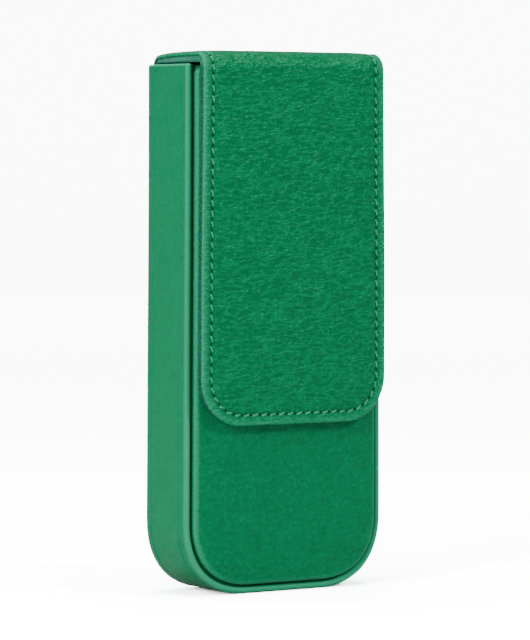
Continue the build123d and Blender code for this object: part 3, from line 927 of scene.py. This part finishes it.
def needle_holes(name, points):
    """A small dark lens between every two stitches: five rings whose radius falls to nothing in
    the middle of its top and of its underside, lying 0.05 mm proud of the leather."""
    at, way = along_path(points, np.arange(1, stitch_count(points)) * PITCH)
    turn = np.linspace(0, 2 * np.pi, 9)[:-1]
    radius = np.array([0.0, 0.46, 0.4, 0.2, 0.0])[:, None]
    up = np.array([-0.12, -0.08, 0.05, 0.06, 0.06])[:, None]
    a, b = radius * np.cos(turn) * 1.1, radius * np.sin(turn)
    x, s = beside(at, way, a, b)
    n = up + flap_surface(x, s)
    ring = cells(5, 8, closed_columns=True)
    faces = (ring[None] + (np.arange(len(at)) * 40)[:, None, None]).reshape(-1, 4).tolist()
    return make_piece(name, bend(x, s, n), np.stack([x, s, n], -1), faces, HOLE)


round_flap = seam_path(S_SPLIT, FLAP_HALF, FLAP_R)
seam = stitches("flap_seam_thread", round_flap)
holes = needle_holes("flap_needle_holes", round_flap)
for piece in (seam, holes):
    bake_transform(piece)

# %% The same seam on the rear half of the spine
end = S_SPLIT + PITCH * int((S_BACK - 1.0 - S_SPLIT) / PITCH)
for side, word in ((-1, "left"), (1, "right")):
    line = np.stack([np.full(200, side * (FLAP_HALF - SEWN_IN)), np.linspace(S_SPLIT, end, 200)], 1)
    thread = stitches(f"spine_seam_thread_{word}", line)
    cups = needle_holes(f"spine_needle_holes_{word}", line)
    for piece in (thread, cups):
        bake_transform(piece)

# %% [markdown]
# ## Inside the case
#
# The box is lined with the same microsuede, glued to the boards: one strip round the gusset and
# one sheet on each panel. They are thin, but the mouth shows their rolled top edges when the case
# is open, so each is made with round edges.

# %% The linings
low, high = span("gusset_lining")
gusset_lining_t = 0.5
round_strip = strip_section((high[1] - low[1]) / 2, gusset_lining_t, crease_at=0.0, crease_deep=0.0, count=5)
strip = swept_strip("gusset_suede", high[0], CORNER_R - RIM_T, low[2], high[2], (low[1] + high[1]) / 2,
                    round_strip, 0.22, SUEDE, edge=np.zeros(len(round_strip[0])))
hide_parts("gusset_lining")
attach(strip, "case")
for node, out in (("front_lining", 1), ("back_lining", -1)):
    low, high = span(node)
    face_y = high[1] if out > 0 else low[1]
    rows = face_rows(0.2, 0.05 - (high[1] - low[1]), 2.8, count=5)
    sheet = padded_panel(node.replace("lining", "suede"), high[0], low[2], high[2], CORNER_R - RIM_T, 2.9,
                         face_y - out * 0.05, out, rows, 0.05, 6.0, SUEDE)
    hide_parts(node)
    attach(sheet, "case")

# %% [markdown]
# ## The tray
#
# The tray is a trough of board under soft suede, thick and round at the rim, open to the front and
# at the top. Its wrap is one section carried along the same U: outside, over the full round rim and
# down inside to the floor pad. The back is closed by rings that run in to the middle.

# %% The tray's wrap
low, high = span("tray_cover")
TRAY_HALF, TRAY_LOW, TRAY_TOP = high[0], low[2], high[2]
TRAY_FRONT, TRAY_BACK = low[1], high[1]
TRAY_R = CORNER_R - (CASE_HALF - TRAY_HALF)
PAD_Y = span("tray_pad")[0][1]


def trough_rows(last):
    """Insets, pulls and depths from the middle of the back face, round the outer edge, forward
    along the wall, over the rim, back along the inside and across the floor to its middle."""
    edge = np.linspace(0, np.pi / 2, 7)
    rim = np.linspace(0, np.pi, 15)
    r, half_t = 1.3, WALL_T / 2
    insets = np.concatenate([np.full(5, last), [8.0, 5.0, 3.0], r * (1 - np.sin(edge)), np.zeros(8),
                             half_t * (1 - np.cos(rim)), np.full(8, WALL_T), WALL_T + 0.8 * np.sin(edge)[1:],
                             [5.6, 7.0, 9.0, last], np.full(4, last)])
    depths = np.concatenate([np.full(8, TRAY_BACK), TRAY_BACK - r * (1 - np.cos(edge)),
                             np.linspace(TRAY_BACK - r - 0.4, TRAY_FRONT + half_t + 0.4, 8),
                             TRAY_FRONT + half_t * (1 - np.sin(rim)),
                             np.linspace(TRAY_FRONT + half_t + 0.4, PAD_Y - 1.2, 8),
                             PAD_Y - 0.8 * np.cos(edge)[1:], np.full(8, PAD_Y)])
    pulls = np.concatenate([[1.0, 0.8, 0.55, 0.25, 0.0], np.zeros(3 + 7 + 8 + 15 + 8 + 6 + 4),
                            [0.3, 0.6, 0.8, 1.0]])
    return insets, pulls, depths


insets, pulls, depths = trough_rows(LAST_INSET)
round_end = 0.9
shape = outline(TRAY_HALF, TRAY_R, rounded_heights(TRAY_R + TRAY_LOW, TRAY_TOP, round_end) - TRAY_LOW)
x, v = rings(shape, insets, pulls, TRAY_HALF, TRAY_TOP)
tangent_i, tangent_d = np.gradient(insets), np.gradient(depths)
size = np.maximum(np.hypot(tangent_i, tangent_d), 1e-9)
shrink = end_shrink(v, TRAY_TOP - TRAY_LOW, round_end)
x = x + shrink * (tangent_d / size)[:, None] * shape[1][None, :, 0]
y = depths[:, None] + shrink * (tangent_i / size)[:, None]
y = y + 0.08 * (depths[:, None] < PAD_Y - 1) * waves(x, v, 13, 6)
tray = shell("tray_wrap", x, v, y, lambda a, b, c: np.stack([a, c, b + TRAY_LOW], -1), SUEDE, closed=False,
             edge=np.broadcast_to(np.clip((TRAY_FRONT + 2 - depths) / 2, 0, 1)[:, None], x.shape) * 0.5)
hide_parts("tray_cover", "tray_pad", "tray_band")
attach(tray, "tray")

# %% [markdown]
# Two ridges part the trough into three channels. Each is a strip of board and foam under the same
# suede, round on top, and its upper end rolls down to the floor in a quarter circle.

# %% The tray's ridges
def ridge(name, centre, width, height, low, top, roll, base_y):
    """Sections across the ridge, carried up it. A section is two straight sides and a half circle
    as wide as the ridge. Near the top it is cut off at a height that rolls back by a quarter
    circle, h = height - roll * (1 - sqrt(1 - t^2)), with its own edges rounded by lip, and it meets
    the half circle in a soft corner of the width `soft`. The half width shrinks by the same
    rounding at the upper end, whose five rows close it flat at t = 1. The foot is `sunk` in."""
    lip, soft, sunk = 0.5, 0.8, 0.5
    turn = np.linspace(0, np.pi / 2, 22)
    up = np.concatenate([np.linspace(low, top - roll, 40)[:-1], top - roll * (1 - np.sin(turn)),
                         np.full(5, top)])
    t = np.clip((up - (top - roll)) / roll, 0, 1)
    tall = height - roll * (1 - np.sqrt(1 - t**2))
    tall[-5:] *= np.array([0.94, 0.8, 0.55, 0.25, 0.05])
    half = width / 2 - lip * (1 - np.sqrt(1 - np.clip((up - top) / lip + 1, 0, 1)**2))
    turn = np.linspace(0, np.pi, 25)[:, None]
    arch = height - half * (1 - np.sin(turn))
    beyond = np.clip(1 - (1 - np.abs(np.cos(turn))) * half / lip, 0, 1)
    cut = tall * (1 - lip / height * (1 - np.sqrt(1 - beyond**2)))
    crest = np.minimum(arch, cut) - np.clip(soft - np.abs(arch - cut), 0, soft)**2 / (4 * soft)
    legs = np.linspace(0, 1, 7)[:-1, None]
    xs = np.concatenate([-half + 0 * legs, -half * np.cos(turn), half + 0 * legs[::-1]])
    ys = np.concatenate([legs * crest[0], crest, legs[::-1] * crest[-1]])
    wavy = 0.06 * np.clip(ys / 3, 0, 1) * waves(ys + 3 * xs, np.broadcast_to(up, xs.shape), 11, 12)
    x = centre + xs
    v = np.broadcast_to(up, xs.shape)
    y = base_y + sunk - (ys + wavy + sunk * (ys > 0.01))
    return shell(name, x, v, y, lambda a, b, c: np.stack([a, c, b], -1), SUEDE, closed=False, ring_rows=True)


ridge_low, ridge_roll = TRAY_LOW + WALL_T - 1.0, 9.0
for word in ("left", "right"):
    low, high = span(f"ridge_cover_{word}")
    piece = ridge(f"tray_ridge_{word}", (low[0] + high[0]) / 2, high[0] - low[0], PAD_Y - low[1],
                  ridge_low, high[2], ridge_roll, PAD_Y)
    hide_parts(f"ridge_cover_{word}")
    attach(piece, "tray")

# %% [markdown]
# ## Floor, light and camera
#
# The case stands on a white studio table that rises into the background, so there is no horizon.
# A large soft light stands to the left and one hangs above, as in a light tent. A smaller one
# stands high on the front right, where the creases of the leather throw its light back to the
# camera as short bright strokes. The camera stands where the picture's perspective puts it: a long
# lens from the front left, just above the table.

# %% A white bowl for a table
turn = np.linspace(0, 2 * np.pi, 97)[:-1]
flat_r, wall_r = 2.6, 1.4
curve = np.linspace(0, np.pi / 2, 13)
radius = np.concatenate([[0.001], np.linspace(0.3, flat_r, 8), flat_r + wall_r * np.sin(curve[1:])])
rise = np.concatenate([np.zeros(9), wall_r * (1 - np.cos(curve[1:]))])
points = np.stack([radius[:, None] * np.cos(turn), radius[:, None] * np.sin(turn),
                   rise[:, None] + 0 * turn], -1)
table_material, tree, out = new_material("white_table")
seen = add(tree, "ShaderNodeLightPath").outputs["Is Camera Ray"]
paper = add(tree, "ShaderNodeBsdfDiffuse", {"Color": (0.55, 0.55, 0.55, 1.0)})
bright = add(tree, "ShaderNodeBsdfDiffuse", {"Color": (11.0, 11.0, 11.0, 1.0)})
far = add(tree, "ShaderNodeAttribute", attribute_name="edge").outputs["Fac"]
glow_strength = add(tree, "ShaderNodeMath", {1: 7.0}, {0: far}, operation="MULTIPLY")
glow = add(tree, "ShaderNodeEmission", None, {"Strength": glow_strength.outputs[0]})
lit = add(tree, "ShaderNodeAddShader", None, {0: bright.outputs[0], 1: glow.outputs[0]})
both = add(tree, "ShaderNodeMixShader", None, {0: seen, 1: paper.outputs[0], 2: lit.outputs[0]})
tree.links.new(both.outputs[0], out.inputs[0])
faces = cells(len(radius), 96, closed_columns=True).tolist() + [list(range(96))[::-1]]
table = make_piece("studio_table", points / MM, points, faces, table_material, weld=False,
                   edge=np.broadcast_to(smooth((radius - 0.5) / 1.6)[:, None], points.shape[:2]))

# %% Lights
AIM = Vector((0, 0, 0.08))


def softbox(name, place, size, power):
    """A square white area light at `place` that faces the middle of the case."""
    light = bpy.data.lights.new(name, "AREA")
    light.size, light.energy = size, power
    lamp = bpy.data.objects.new(name, light)
    lamp.location = place
    lamp.rotation_euler = (AIM - Vector(place)).to_track_quat("-Z", "Y").to_euler()
    bpy.context.scene.collection.objects.link(lamp)


softbox("left_softbox", (-1.4, -0.55, 0.75), 0.9, 25)
softbox("front_softbox", (0.9, -1.55, 1.3), 0.5, 19)
softbox("top_softbox", (0.0, 0.1, 1.5), 1.0, 18)
world = bpy.data.worlds.new("light_tent")
bpy.context.scene.world = world
world.use_nodes = True
world.node_tree.nodes["Background"].inputs[0].default_value = linear("#FFFFFF")
world.node_tree.nodes["Background"].inputs[1].default_value = 0.2
print("lights and world set")

# %% Camera
# Turn, place and lens were fitted to the case's corners in the picture. The lens is then made
# longer by a share, so that the case fills the frame.
CAMERA_TURN = Matrix(((0.83323, 0.02301, -0.55245), (-0.55292, 0.03834, -0.83235),
                      (0.00203, 0.99900, 0.04467)))
CAMERA_PLACE = (-0.6325, -0.9510, 0.1334)
camera = bpy.data.objects.new("camera", bpy.data.cameras.new("camera"))
FITTED_LENS, CLOSER = 154.6, 1.36
camera.data.lens = FITTED_LENS * CLOSER
camera.data.clip_start, camera.data.clip_end = 0.05, 30
camera.matrix_world = Matrix.Translation(CAMERA_PLACE) @ CAMERA_TURN.to_4x4()
bpy.context.scene.collection.objects.link(camera)
bpy.context.scene.camera = camera
